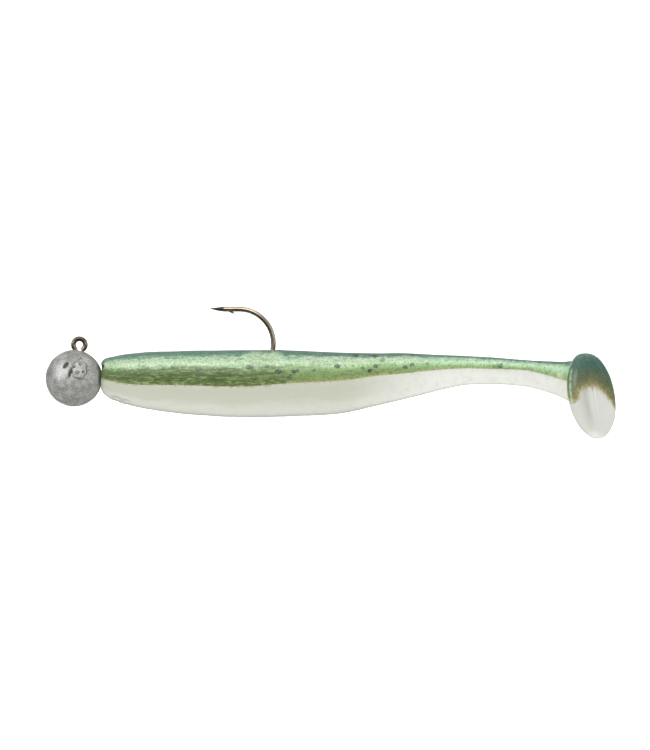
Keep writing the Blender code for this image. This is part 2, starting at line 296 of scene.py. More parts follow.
def paddle_rows():
    """The gusset, the disc's rounded rim, and its dished rear face down to the middle."""
    half_width, top, _, bottom = section_sizes(STEM_END)
    edge = PADDLE_HALF_THICKNESS
    table = [(STEM_END, half_width, top, bottom, 0)]
    table.extend(GUSSET)
    rows = [paddle_outline(*row) for row in smooth_rows(table, GUSSET_STEPS)[1:]]
    for angle in np.linspace(-90, 90, RIM_STEPS):
        turned = math.radians(angle)
        back = math.copysign(abs(math.sin(turned)) ** RIM_FULLNESS, turned)
        inset = 1 - abs(math.cos(turned)) ** RIM_FULLNESS
        rows.append(disc_outline(PADDLE_AT + edge * back, edge * inset))
    rim = rows[-1]
    middle = np.array((PADDLE_AT + edge, 0, PADDLE_MIDDLE))
    for share in np.linspace(0.96, 0.04, FACE_STEPS):
        row = middle + (rim - middle) * share
        row[:, 0] -= DISH_DEPTH * smooth_step(1 - share, 0, 0.5)
        rows.append(row)
    return rows


def body_to_disc(distance, column, disc, start, end):
    """A height that follows the body, and goes over to one on the disc between start and end."""
    body = np.interp(distance, PROFILE_PLACES, PROFILES[:, column])
    return body + (disc - body) * smooth_step(distance, start, end)


def line_height(distance, sideways):
    """Height of the line between the green and the pearl pour."""
    across = sideways / PADDLE_HALF_WIDTH
    arch = ARCH_TOP + (distance - PADDLE_AT) * math.tan(ARCH_SLOPE)
    arch = arch - ARCH_NEAR_DROP * np.clip(-across, 0, 1) ** ARCH_NEAR_POWER
    arch = arch - ARCH_FAR_DROP * np.clip(across, 0, 1) ** ARCH_FAR_POWER
    return body_to_disc(distance, LINE, arch, *ARCH_BEGINS)


def crest_height(distance):
    """Height of the back, and of the disc's top edge at the paddle."""
    return body_to_disc(distance, BACK, PADDLE_TOP, *DISC_TOP_BEGINS)


def keel_height(distance):
    """Height of the belly's lowest line, and of the disc's bottom edge at the paddle."""
    return body_to_disc(distance, BELLY, PADDLE_BOTTOM, *DISC_BOTTOM_BEGINS)


def pressed(points, centre, radius, depth, direction):
    """Points pushed along a direction round a centre, most in the middle."""
    away = np.linalg.norm(points - np.array(centre), axis=-1)
    return points + np.array(direction) * (depth * np.exp(-((away / radius) ** 2)))[..., None]


def fold_chin(skin):
    """Presses creases along the chin, on both sides."""
    distance, sideways, height = np.moveaxis(skin, -1, 0)
    fade = smooth_step(distance, *CHIN_BEGINS) * (1 - smooth_step(distance, *CHIN_ENDS))
    for fold, depth in CHIN_FOLDS:
        wave = CHIN_WAVE_HEIGHT * np.sin(distance * CHIN_WAVE_RATE + fold * CHIN_WAVE_SHIFT)
        path = fold - CHIN_FALL * (distance - CHIN_AT) + wave
        groove = depth * fade * hump(height, path, CHIN_FOLD_WIDTH)
        height += groove
        sideways -= np.sign(sideways) * groove * 0.6


def crease_paddle(skin):
    """Presses the crease down the middle of the paddle's rear face."""
    distance, sideways, height = np.moveaxis(skin, -1, 0)
    rear = smooth_step(distance, PADDLE_AT + 0.3, PADDLE_AT + 0.9)
    below = 1 - smooth_step(height, PADDLE_MIDDLE + 1.5, PADDLE_MIDDLE + 3.0)
    above = smooth_step(height, PADDLE_MIDDLE - 7.0, PADDLE_MIDDLE - 5.0)
    crease = hump(sideways, CREASE_AT, 0.28) - 0.5 * hump(sideways, CREASE_AT, 0.8)
    distance -= CREASE_DEPTH * rear * below * above * crease


def unevenness(points, waves):
    """Smooth noise at rows of points: waves are pairs of a rate, each millimetre, and a height."""
    found = [
        [sum(height * noise.noise(Vector(place * rate)) for rate, height in waves) for place in row]
        for row in points
    ]
    return np.array(found)[..., None]


def grid_normals(grid):
    """Smooth outward normals of rows of points that run front to back."""
    around = np.roll(grid, -1, axis=1) - np.roll(grid, 1, axis=1)
    along = np.gradient(grid, axis=0)
    normals = np.cross(around, along)
    length = np.linalg.norm(normals, axis=-1, keepdims=True)
    return normals / np.maximum(length, 1e-12)


def skin_grid():
    """Rows of points of the whole skin, front to back, and which of them lie on the cuts."""
    nose = nose_rows()
    places = body_places()
    rows = nose + [full_section(place) for place in places] + paddle_rows()
    skin = np.array(rows)
    skin = pressed(skin, NOTCH_AT, radius=0.55, depth=0.7, direction=(0.9, 0.5, -0.1))
    # The lip that the wire raised where it leaves the back, and the dimple inside the lip.
    skin = pressed(skin, WIRE_LEAVES, radius=1.5, depth=0.22, direction=(0, 0, 1))
    skin = pressed(skin, WIRE_LEAVES, radius=0.75, depth=0.55, direction=(0, 0, -1))
    fold_chin(skin)
    crease_paddle(skin)
    cuts = [len(nose) + int(np.argmin(np.abs(np.array(places) - cut))) for cut in CUTS]
    return skin, cuts


def linked(name, data):
    """A new object in the scene."""
    obj = bpy.data.objects.new(name, data)
    bpy.context.scene.collection.objects.link(obj)
    return obj


def finished_mesh(name, shape):
    """The shape as a smooth shaded mesh. The shape itself goes."""
    mesh = bpy.data.meshes.new(name)
    shape.to_mesh(mesh)
    shape.free()
    mesh.shade_smooth()
    return mesh


def loft(shape, grid):
    """Makes faces between neighbouring rows of corners, and one over each end, which it returns."""
    count = len(grid[0])
    for before, after in zip(grid, grid[1:]):
        for i in range(count):
            j = (i + 1) % count
            shape.faces.new((before[i], before[j], after[j], after[i]))
    return [shape.faces.new(row) for row in (grid[0], grid[-1])]


def pour_part(skin, normals, side):
    """One closed piece of one pour: side 1 keeps what is above the line, and -1 what is below.

    Heights are measured from the line here, so that the cut along it is flat.
    """
    shape = bmesh.new()
    smooth = shape.verts.layers.float_vector.new("smooth_normal")
    inner = shape.faces.layers.int.new("inner")
    warped = skin.copy()
    warped[..., 2] -= line_height(skin[..., 0], skin[..., 1])
    grid = []
    for points, row_normals in zip(warped, normals):
        grid.append([shape.verts.new(point) for point in points])
        for vert, normal in zip(grid[-1], row_normals):
            vert[smooth] = normal
    for face in loft(shape, grid):
        face[inner] = 1
    bmesh.ops.recalc_face_normals(shape, faces=shape.faces)
    cut = bmesh.ops.bisect_plane(
        shape,
        geom=shape.verts[:] + shape.edges[:] + shape.faces[:],
        dist=1e-5,
        plane_co=(0, 0, 0),
        plane_no=(0, 0, side),
        clear_inner=True,
    )
    edges = [e for e in cut["geom_cut"] if isinstance(e, bmesh.types.BMEdge)]
    for face in bmesh.ops.edgeloop_fill(shape, edges=edges)["faces"]:
        face[inner] = 1
    bmesh.ops.recalc_face_normals(shape, faces=shape.faces)
    return shape


def add_attribute(mesh, name, values):
    kind, key = ("FLOAT_VECTOR", "vector") if values.ndim == 2 else ("FLOAT", "value")
    layer = mesh.attributes.new(name, kind, "POINT")
    layer.data.foreach_set(key, values.astype(np.float32).ravel())


def finished_piece(name, shape):
    """Puts a part of a pour in the row frame, with its attributes and its smooth normals."""
    smooth = shape.verts.layers.float_vector["smooth_normal"]
    inner = shape.faces.layers.int["inner"]
    distance, sideways, above = np.array([vert.co for vert in shape.verts]).T
    normals = np.array([vert[smooth] for vert in shape.verts])
    hidden = [bool(face[inner]) for face in shape.faces]
    line = line_height(distance, sideways)
    mould = np.stack([distance, sideways, above + line], axis=-1)
    for vert, place in zip(shape.verts, to_row(mould)):
        vert.co = place
    shape.verts.layers.float_vector.remove(smooth)
    mesh = finished_mesh(name, shape)
    crest = np.maximum(crest_height(distance) - line, 0.5)
    keel = np.maximum(line - keel_height(distance), 0.5)
    add_attribute(mesh, "mould_place", mould)
    add_attribute(mesh, "above_line", above)
    add_attribute(mesh, "share_up", np.where(above > 0, above / crest, above / keel))
    set_smooth_normals(mesh, normals, hidden)
    return linked(name, mesh)


def set_smooth_normals(mesh, normals, hidden):
    """Visible faces take the whole skin's normals, so that no seam shows between pieces."""
    corners = np.zeros((len(mesh.loops), 3))
    for polygon, is_hidden in zip(mesh.polygons, hidden):
        for corner in polygon.loop_indices:
            own = normals[mesh.loops[corner].vertex_index]
            corners[corner] = polygon.normal if is_hidden else own
    mesh.normals_split_custom_set(corners.tolist())


# Words for each pour in the piece's name and in the CAD nodes' names, its side, and its slot.
POURS = (("back", "top", 1, "green_pearl"), ("pearl", "belly", -1, "pearl_white"))


def make_skin(materials):
    skin, cuts = skin_grid()
    skin = skin + grid_normals(skin) * unevenness(skin, SKIN_WAVES)
    normals = grid_normals(to_row(skin))
    edges = [0, *cuts, len(skin) - 1]
    for i, members in enumerate(SECTIONS):
        part = slice(edges[i], edges[i + 1] + 1)
        for look, pour, side, slot in POURS:
            shape = pour_part(skin[part], normals[part], side)
            piece = finished_piece(f"{members[0]}_{look}_skin", shape)
            piece.data.materials.append(materials[slot])
            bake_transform(piece)
            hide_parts(*[f"{member}_{pour}" for member in members])


# ---- hook wire

WIRE_RADIUS = 0.48
WIRE_AROUND = 28
EYE_RADIUS = 1.16
EYE_OPEN_AT = math.radians(-69)
EYE_CLOSES_AT = math.radians(224)
EYE_SETTLED = 0.18  # how far the ring sits below the frame's origin
EYE_STEPS = 60
LEG_AHEAD_OF_EYE = 0.8
LEG_BEND_RADIUS = 1.3
LEG_BEND_STEPS = 12
SHANK_HEIGHT = 0.1
BEND_RADIUS = 6.68
BEND_CENTRE = 32.2
BEND_STEPS = 90
SPEAR_LENGTH = 5.6
SPEAR_HEIGHT = SHANK_HEIGHT + 2 * BEND_RADIUS
SPEAR_STEPS = 4
NEEDLE_LENGTH = 2.8
NEEDLE_STARTS = BEND_CENTRE - SPEAR_LENGTH + NEEDLE_LENGTH
NEEDLE_STEPS = 24
NEEDLE_TAPER = 1.35  # 1 is a straight cone, more is fuller
NEEDLE_LIFT = 0.12
NEEDLE_TIP_RADIUS = 0.05
CUT_EDGE = ((0, 0.1), (0.03, 0.04), (0.1, 0))  # depth from the cut, and how much thinner the wire is
BARB_FROM_TIP = 3.75
BARB_ROOT = (BEND_CENTRE - SPEAR_LENGTH + BARB_FROM_TIP, 0, SPEAR_HEIGHT - 0.3)
BARB_LENGTH = 1.0
BARB_FALL = 0.64
BARB_CURL = 0.06
BARB_RADIUS = 0.27
BARB_TIP_RADIUS = 0.03
BARB_TAPER = 0.75
BARB_FLATNESS = 0.7
BARB_AROUND = 14


def arc(centre_x, centre_z, radius, start, end, count):
    """Points on an arc in the lure's middle plane, angles from the tail towards the back."""
    angles = np.linspace(start, end, count)
    return [(centre_x + radius * math.cos(a), 0, centre_z + radius * math.sin(a)) for a in angles]


def hook_path():
    """The wire's middle line from the eye's cut end to the point, and its radius along it."""
    eye_x, _, eye_z = -BALL_CENTRE
    path = arc(eye_x, eye_z - EYE_SETTLED, EYE_RADIUS, EYE_OPEN_AT, EYE_CLOSES_AT, EYE_STEPS)
    corner_x = eye_x - LEG_AHEAD_OF_EYE + LEG_BEND_RADIUS
    corner_z = SHANK_HEIGHT + LEG_BEND_RADIUS
    path += arc(corner_x, corner_z, LEG_BEND_RADIUS, math.pi, math.pi * 1.5, LEG_BEND_STEPS)
    centre_z = SHANK_HEIGHT + BEND_RADIUS
    path += arc(BEND_CENTRE, centre_z, BEND_RADIUS, -math.pi / 2, math.pi / 2, BEND_STEPS)
    for i in range(1, SPEAR_STEPS + 1):
        straight = (NEEDLE_STARTS - BEND_CENTRE) * i / SPEAR_STEPS
        path.append((BEND_CENTRE + straight, 0, SPEAR_HEIGHT))
    radii = [WIRE_RADIUS] * len(path)
    for i in range(1, NEEDLE_STEPS + 1):
        t = i / NEEDLE_STEPS
        path.append((NEEDLE_STARTS - NEEDLE_LENGTH * t, 0, SPEAR_HEIGHT + NEEDLE_LIFT * t * t))
        radii.append(WIRE_RADIUS * (1 - t**NEEDLE_TAPER) + NEEDLE_TIP_RADIUS * t)
    return np.array(path), np.array(radii)


def tube(path, radii, around, flatten=1.0):
    """Rows of points of a round wire along a path that lies in the middle plane."""
    along = np.gradient(path, axis=0)
    along /= np.linalg.norm(along, axis=-1, keepdims=True)
    side = np.array((0, 1, 0))
    out = np.cross(side, along)
    angles = turn(around)
    ring = out[:, None] * np.cos(angles)[None, :, None] + side * np.sin(angles)[None, :, None] * flatten
    return path[:, None] + ring * radii[:, None, None]


def closed_loft(name, rows, **shares):
    """A closed mesh through rows of points, with its mould place and other shares as attributes."""
    shape = bmesh.new()
    layer = shape.verts.layers.float_vector.new("mould_place")
    share_layers = {key: shape.verts.layers.float.new(key) for key in shares}
    grid = []
    for i, points in enumerate(rows):
        grid.append([shape.verts.new(place) for place in to_row(points)])
        for j, vert in enumerate(grid[-1]):
            vert[layer] = points[j]
            for key, share_layer in share_layers.items():
                vert[share_layer] = float(shares[key][i, j])
    loft(shape, grid)
    bmesh.ops.recalc_face_normals(shape, faces=shape.faces)
    mesh = finished_mesh(name, shape)
    mesh.set_sharp_from_angle(angle=math.radians(42))
    return linked(name, mesh)


def rounded_end(path, radii):
    """The cut end of the wire with its edge broken."""
    inward = path[1] - path[0]
    inward = inward / np.linalg.norm(inward)
    places = [path[0] + inward * depth for depth, _ in CUT_EDGE]
    sizes = [radii[0] - thinner for _, thinner in CUT_EDGE]
    return np.concatenate([places, path[2:]]), np.concatenate([sizes, radii[2:]])


def make_barb():
    """A short flattened spike, from inside the spear down and back towards the bend."""
    steps = np.linspace(0, 1, 9)
    drop = BARB_CURL * steps * steps - BARB_FALL * steps
    path = BARB_ROOT + np.stack([BARB_LENGTH * steps, 0 * steps, drop], axis=-1)
    radii = BARB_RADIUS * (1 - steps) ** BARB_TAPER + BARB_TIP_RADIUS
    return closed_loft("barb", tube(path, radii, BARB_AROUND, BARB_FLATNESS))


def joined_mesh(obj, other):
    """The mesh of two objects joined into one skin. The other object goes."""
    union = obj.modifiers.new("union", "BOOLEAN")
    union.operation = "UNION"
    union.solver = "EXACT"
    union.object = other
    bpy.context.view_layer.update()
    evaluated = obj.evaluated_get(bpy.context.evaluated_depsgraph_get())
    mesh = bpy.data.meshes.new_from_object(evaluated)
    obj.modifiers.clear()
    bpy.data.objects.remove(other)
    return mesh


def make_hook(material):
    path, radii = rounded_end(*hook_path())
    hook = closed_loft("jig_hook_wire", tube(path, radii, WIRE_AROUND))
    hook.data = joined_mesh(hook, make_barb())
    hook.data.name = "jig_hook_wire"
    hook.data.materials.clear()
    hook.data.materials.append(material)
    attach(hook, "rigged_front")
    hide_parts("jig_hook")


# ---- lead head

BALL_RADIUS = 5.5
BALL_ROWS = 150
BALL_AROUND = 220
COLLAR_RADIUS = 1.2
COLLAR_END = 11.2
COLLAR_RIDGES = (7.2, 9.2)
RIDGE_HEIGHT = 0.3
RIDGE_LENGTH = 1.4
LEAD_WAVES = ((0.7, 0.05), (2.2, 0.03), (5.5, 0.016))  # waves for unevenness()

# Marks on the ball's near flank: place (distance and height), half sizes, and angle.
WORN = ((-2.1, 1.5), (1.9, 1.15), math.radians(62))  # a burnished flat
DENT = ((-1.4, 2.6), (0.75, 0.4), math.radians(50))
GOUGE = ((-0.55, 0.9), (0.35, 0.95), math.radians(-12))
PATCH = ((1.35, 1.75), (1.35, 1.75))  # rough and raised, where the casting was trimmed
# Four pits in the patch: place and size.
PITS = (((1.5, 2.75), 0.4), ((0.95, 0.95), 0.42), ((2.0, 1.2), 0.26), ((0.35, 2.2), 0.24))
LEDGE_CENTRE = (0.2, 0.2)
LEDGE_RADIUS = 4.5


def head_rows():
    """Rows from the ball's front pole back over the ball and along the collar."""
    last = math.pi - math.asin(COLLAR_RADIUS / BALL_RADIUS)
    profile = []
    for turned in np.linspace(0.004, last, BALL_ROWS):
        profile.append((-BALL_RADIUS * math.cos(turned), BALL_RADIUS * math.sin(turned)))
    for start in COLLAR_RIDGES:
        profile.append((start - 0.12, COLLAR_RADIUS))
        profile.append((start, COLLAR_RADIUS + RIDGE_HEIGHT))
        profile.append((start + 0.1, COLLAR_RADIUS + RIDGE_HEIGHT))
        profile.append((start + RIDGE_LENGTH, COLLAR_RADIUS))
    profile.append((COLLAR_END - 0.25, COLLAR_RADIUS))
    profile.append((COLLAR_END, COLLAR_RADIUS - 0.2))
    angles = turn(BALL_AROUND)
    return np.array([circle(distance, radius, angles) for distance, radius in profile])


def flank_distance(points, place, half_sizes, turned=0.0):
    """Distance from a place on the ball's near flank, in units of an oval's half sizes."""
    c, s = math.cos(turned), math.sin(turned)
    dx = points[..., 0] - place[0]
    dz = points[..., 2] - place[1]
    u = (c * dx + s * dz) / half_sizes[0]
    v = (-s * dx + c * dz) / half_sizes[1]
    far_side = np.where(points[..., 1] < 0, 0, 20)
    return np.sqrt(u * u + v * v) + far_side


def patch_relief(points):
    """The trimmed patch: its ragged outline, the groove round it, its four pits and the gouge beside it."""
    (x, z), half_sizes = PATCH
    around = np.arctan2(points[..., 2] - z, points[..., 0] - x)
    ragged = flank_distance(points, (x, z), half_sizes)
    ragged = ragged * (1 + 0.07 * np.sin(7 * around + 1) + 0.05 * np.sin(12 * around))
    relief = 0.2 * (1 - smooth_step(ragged, 0.86, 1.02)) - 0.24 * hump(ragged, 1.12, 0.1)
    for place, size in PITS:
        pit = flank_distance(points, place, (size, size))
        relief += 0.12 * hump(pit, 1.4, 0.3) - 0.42 * np.exp(-(pit**4))
    return relief - 0.4 * np.exp(-(flank_distance(points, *GOUGE) ** 3))


def ledge_relief(points):
    """The ledge that the mould's edge left low on the side next to the body."""
    radial = np.hypot(points[..., 0] - LEDGE_CENTRE[0], points[..., 2] - LEDGE_CENTRE[1])
    where = np.arctan2(points[..., 2], points[..., 0])
    window = smooth_step(where, -1.2, -0.85) * (1 - smooth_step(where, -0.42, -0.2))
    near = points[..., 1] < 0
    return -0.1 * smooth_step(radial, LEDGE_RADIUS, LEDGE_RADIUS + 0.2) * window * near


def head_relief(points):
    """How far casting marks raise or sink the ball's surface, in millimetres."""
    dent = flank_distance(points, *DENT)
    relief = 0.16 * hump(dent, 1.5, 0.35) - 0.5 * np.exp(-(dent**3))
    relief -= 0.12 * np.exp(-(flank_distance(points, *WORN) ** 4))
    return relief + patch_relief(points) + ledge_relief(points)


def make_head(material):
    rows = head_rows()
    ball = rows[:BALL_ROWS].copy()
    marks = np.zeros(rows.shape[:2])
    marks[:BALL_ROWS] = head_relief(ball)
    # The burnished flat is also where the lead's highlight is painted.
    worn = np.zeros(rows.shape[:2])
    worn[:BALL_ROWS] = np.exp(-(flank_distance(ball, *WORN) ** 3))
    outward = ball / np.linalg.norm(ball, axis=-1, keepdims=True)
    raised = marks[:BALL_ROWS, :, None] + unevenness(ball, LEAD_WAVES)
    rows[:BALL_ROWS] = ball + outward * raised
    head = closed_loft("lead_ball_head", rows, relief=marks, worn=worn)
    head.data.materials.append(material)
    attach(head, "rigged_front")
    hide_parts("lead_head")


# ---- materials


def linear(code):
    """A colour written as rrggbb, as the linear values that a shader wants."""
    values = [int(code[i : i + 2], 16) / 255 for i in (0, 2, 4)]
    return tuple(v / 12.92 if v <= 0.04045 else ((v + 0.055) / 1.055) ** 2.4 for v in values) + (1,)


class Paint:
    """A material, the colour that is on it so far, and short ways to add nodes to it."""

    def __init__(self, name):
        self.material = bpy.data.materials.new(name)
        self.material.use_nodes = True
        self.tree = self.material.node_tree
        self.shader = self.tree.nodes["Principled BSDF"]
        self.place = self.attribute("mould_place", "Vector")
        self.along, self.across, self.height = self.split(self.place)
        self.colour = None

    def add(self, kind, **settings):
        node = self.tree.nodes.new(kind)
        for key, value in settings.items():
            setattr(node, key, value)
        return node

    def put(self, value, socket):
        if isinstance(value, bpy.types.NodeSocket):
            self.tree.links.new(value, socket)
        else:
            socket.default_value = value

    def attribute(self, name, output="Fac"):
        return self.add("ShaderNodeAttribute", attribute_name=name).outputs[output]

    def split(self, vector):
        node = self.add("ShaderNodeSeparateXYZ")
        self.put(vector, node.inputs[0])
        return node.outputs

    def noise(self, scale, detail, roughness, stretch=(1, 1, 1)):
        """Noise over the straight lure, drawn out along the axes whose number is small."""
        moved = self.add("ShaderNodeVectorMath", operation="MULTIPLY")
        self.put(self.place, moved.inputs[0])
        moved.inputs[1].default_value = stretch
        node = self.add("ShaderNodeTexNoise")
        self.put(moved.outputs[0], node.inputs["Vector"])
        node.inputs["Scale"].default_value = scale
        node.inputs["Detail"].default_value = detail
        node.inputs["Roughness"].default_value = roughness
        return node.outputs["Fac"]

    def cells(self, scale, output):
        node = self.add("ShaderNodeTexVoronoi")
        self.put(self.place, node.inputs["Vector"])
        node.inputs["Scale"].default_value = scale
        return node.outputs[output]

    def maths(self, operation, first, second=0.0):
        node = self.add("ShaderNodeMath", operation=operation)
        self.put(first, node.inputs[0])
        self.put(second, node.inputs[1])
        return node.outputs[0]

    def plus(self, first, second):
        return self.maths("ADD", first, second)

    def times(self, product, *others):
        for other in others:
            product = self.maths("MULTIPLY", product, other)
        return product

    def apart(self, first, second):
        return self.maths("ABSOLUTE", self.maths("SUBTRACT", first, second))

    def fade(self, value, start, end, low=0.0, high=1.0):
        """A smooth change from low to high as the value goes from start to end."""
        node = self.add("ShaderNodeMapRange", interpolation_type="SMOOTHSTEP")
        self.put(value, node.inputs["Value"])
        node.inputs["From Min"].default_value = start
        node.inputs["From Max"].default_value = end
        node.inputs["To Min"].default_value = low
        node.inputs["To Max"].default_value = high
        return node.outputs["Result"]

    def oval(self, place, half_sizes):
        """Square of the distance from a place on the flank, in units of an oval's half sizes."""
        squares = []
        for value, middle, half in zip((self.along, self.height), place, half_sizes):
            off = self.maths("DIVIDE", self.maths("SUBTRACT", value, middle), half)
            squares.append(self.times(off, off))
        return self.plus(*squares)

    def behind_disc(self):
        """Distance behind the middle of the paddle's leaning disc."""
        rise = self.maths("SUBTRACT", self.height, PADDLE_MIDDLE)
        upright = self.plus(self.along, self.times(rise, math.tan(PADDLE_PITCH)))
        return self.maths("SUBTRACT", upright, PADDLE_AT)

    def cover(self, factor, over, mode="MIX"):
        """Lays a colour, written as rrggbb or from a node, over what is there."""
        node = self.add("ShaderNodeMix", data_type="RGBA", blend_type=mode)
        self.put(factor, node.inputs["Factor"])
        self.put(self.colour, node.inputs[6])
        self.put(linear(over) if isinstance(over, str) else over, node.inputs[7])
        self.colour = node.outputs[2]

    def ramp(self, value, stops):
        node = self.add("ShaderNodeValToRGB")
        ramp = node.color_ramp
        while len(ramp.elements) < len(stops):
            ramp.elements.new(0.5)
        for element, (place, code) in zip(ramp.elements, stops):
            element.position = place
            element.color = linear(code)
        self.put(value, node.inputs[0])
        return node.outputs["Color"]

    def bump(self, height, distance, strength=1.0):
        node = self.add("ShaderNodeBump")
        node.inputs["Strength"].default_value = strength
        node.inputs["Distance"].default_value = distance
        self.put(height, node.inputs["Height"])
        return node.outputs["Normal"]

    def finish(self, roughness, normal, **sockets):
        self.put(self.colour, self.shader.inputs["Base Color"])
        self.put(roughness, self.shader.inputs["Roughness"])
        self.put(normal, self.shader.inputs["Normal"])
        for key, value in sockets.items():
            self.shader.inputs[key.replace("_", " ")].default_value = value
        return self.material


# Bands of the green pour from the line (0) to the ridge of the back (1): at the front, in the middle,
# on the stem and on the paddle. On the first three, the pale band up the flank is a painted highlight.
FRONT_BANDS_AND_HIGHLIGHT = (
    (0.00, "a5a683"), (0.04, "8a9160"), (0.10, "5b703d"), (0.20, "4b602f"), (0.30, "475c2c"),
    (0.42, "4e6533"), (0.49, "7a9862"), (0.56, "9dbb8d"), (0.68, "b8d2ac"), (0.77, "aec9a8"),
    (0.82, "83a386"), (0.88, "65907a"), (1.00, "4d7a68"),
)
MIDDLE_BANDS_AND_HIGHLIGHT = (
    (0.00, "a4a06c"), (0.06, "8a955a"), (0.16, "788d58"), (0.34, "7b975e"), (0.48, "89ab70"),
    (0.58, "aeca9f"), (0.72, "c5dcba"), (0.80, "a3c1a2"), (0.85, "5f8a72"), (0.91, "567f6c"),
    (1.00, "466f60"),
)
STEM_BANDS_AND_HIGHLIGHT = (
    (0.00, "acae84"), (0.08, "93a673"), (0.20, "8eae79"), (0.40, "9ec191"), (0.62, "b9d8b3"),
    (0.76, "a4c5a5"), (0.86, "739d86"), (0.94, "4f7d6a"), (1.00, "42705f"),
)
PADDLE_BANDS = (
    (0.00, "a9a37c"), (0.08, "8b8456"), (0.20, "6d6d47"), (0.34, "5a654a"), (0.48, "4d6650"),
    (0.60, "3f625a"), (0.80, "44665a"), (1.00, "5b8671"),
)
# Bands of the pearl pour from the line (0) down to the belly's lowest line. The rear ones add painted glow,
# as of light through the thin tail.
PEARL_FRONT_BANDS = ((0.0, "b9baa9"), (0.2, "b4b6a6"), (0.5, "b5b7a8"), (0.7, "bfc1b5"), (0.86, "bfc2b7"))
PEARL_REAR_BANDS_AND_GLOW = ((0.0, "d2d3cb"), (0.4, "d6d7d0"), (0.8, "d3d5cd"))
# Tones of the lead and of the plated wire, from their dark patches to their bright ones.
LEAD_TONES = ((0.3, "94958f"), (0.45, "b2b3ae"), (0.58, "c9cac5"), (0.72, "dedfd9"))
NICKEL_TONES = ((0.3, "ad9a86"), (0.5, "c8b49e"), (0.7, "d8c7b4"))

# Dark spots of scattered flake: distance, height, half size, and how dark.
DARK_SPOTS = (
    (34.3, 2.15, 0.42, 0.8),
    (37.7, 2.25, 0.3, 0.6),
    (36.6, 1.1, 0.3, 0.35),
    (39.9, 1.3, 0.42, 0.85),
    (42.9, 1.35, 0.36, 0.9),
    (43.6, 1.45, 0.26, 0.8),
    (46.8, 1.5, 0.28, 0.7),
    (51.3, 2.3, 0.4, 0.9),
    (42.2, 0.2, 0.4, 0.5),
    (57.7, 1.5, 0.34, 0.95),
    (58.8, 2.25, 0.34, 0.9),
    (56.3, 2.0, 0.3, 0.6),
    (64.5, 2.1, 0.3, 0.75),
    (65.9, 2.6, 0.3, 0.8),
    (55.0, 4.4, 0.36, 0.7),
    (58.7, 4.3, 0.34, 0.6),
    (60.2, 3.6, 0.36, 0.35),
    (69.1, 2.8, 0.3, 0.5),
    (83.5, 2.4, 0.4, 0.8),
    (82.4, 2.35, 0.3, 0.5),
    (12.8, 2.5, 0.2, 0.4),
    (17.0, 2.3, 0.22, 0.4),
    (24.2, 1.2, 0.24, 0.4),
    (28.5, 1.6, 0.26, 0.45),
)

# Faint rings in the flake: distance, height, radius and colour.
PALE_RINGS = (
    (49.1, 2.96, 0.32, "8d7f78"),
    (50.8, 3.24, 0.34, "6f8478"),
    (60.2, 3.6, 0.3, "8f7d76"),
    (52.8, 3.9, 0.36, "9b968e"),
    (69.1, 2.8, 0.26, "84746c"),
)

NOTCH_SHADE_AT = (5.3, 2.25)  # distance and height
BLOTCH_AT = (96.7, 0.55)
PADDLE_BEGINS = (100.7, 101.5)


def lay_green_bands(paint, share, streaks, blotches):
    """The bands of the green pour with their painted highlight band, whose edges wander."""
    wander = paint.plus(paint.fade(streaks, 0.2, 0.8, -0.09, 0.09), share)
    wander = paint.plus(paint.fade(blotches, 0.25, 0.75, -0.05, 0.05), wander)
    # Where the wire comes out, the painted highlight band reaches almost up to the ridge.
    lifted = paint.times(
        paint.fade(paint.along, 32, 35.5, 0.0, 0.13),
        paint.fade(paint.along, 41.5, 39),
        paint.fade(share, 0.6, 0.75),
    )
    wander = paint.maths("SUBTRACT", wander, lifted)
    paint.colour = paint.ramp(wander, FRONT_BANDS_AND_HIGHLIGHT)
    paint.cover(paint.fade(paint.along, 28, 46), paint.ramp(wander, MIDDLE_BANDS_AND_HIGHLIGHT))
    paint.cover(paint.fade(paint.along, 58, 74), paint.ramp(wander, STEM_BANDS_AND_HIGHLIGHT))
    paint.cover(paint.fade(paint.along, *PADDLE_BEGINS), paint.ramp(wander, PADDLE_BANDS))


def lay_flake(paint, share):
    """Metal flake in the plastic: small cells, some lighter, darker grains between them, and painted glints
    up the flank.
    """
    flake = paint.split(paint.cells(3.4, "Color"))[0]
    paint.cover(paint.fade(flake, 0.35, 1.0, 0.0, 0.4), "dcebcd", "SOFT_LIGHT")
    paint.cover(paint.fade(flake, 0.3, 0.0, 0.0, 0.35), "5f7d4e", "MULTIPLY")
    # Painted glints of silver flake, where the flank turns up to the light.
    painted_glints = paint.times(
        paint.fade(flake, 0.7, 0.9, 0.0, 0.4),
        paint.fade(share, 0.4, 0.6),
        paint.fade(share, 0.88, 0.8),
        paint.fade(paint.along, 99, 97),
    )
    paint.cover(painted_glints, "e6f1e2")
    grains = paint.fade(paint.noise(5.5, 3.0, 0.75), 0.5, 0.72, 0.0, 0.75)
    paint.cover(paint.times(grains, paint.fade(paint.along, 100, 102, 1.0, 0.35)), "4f6f45")


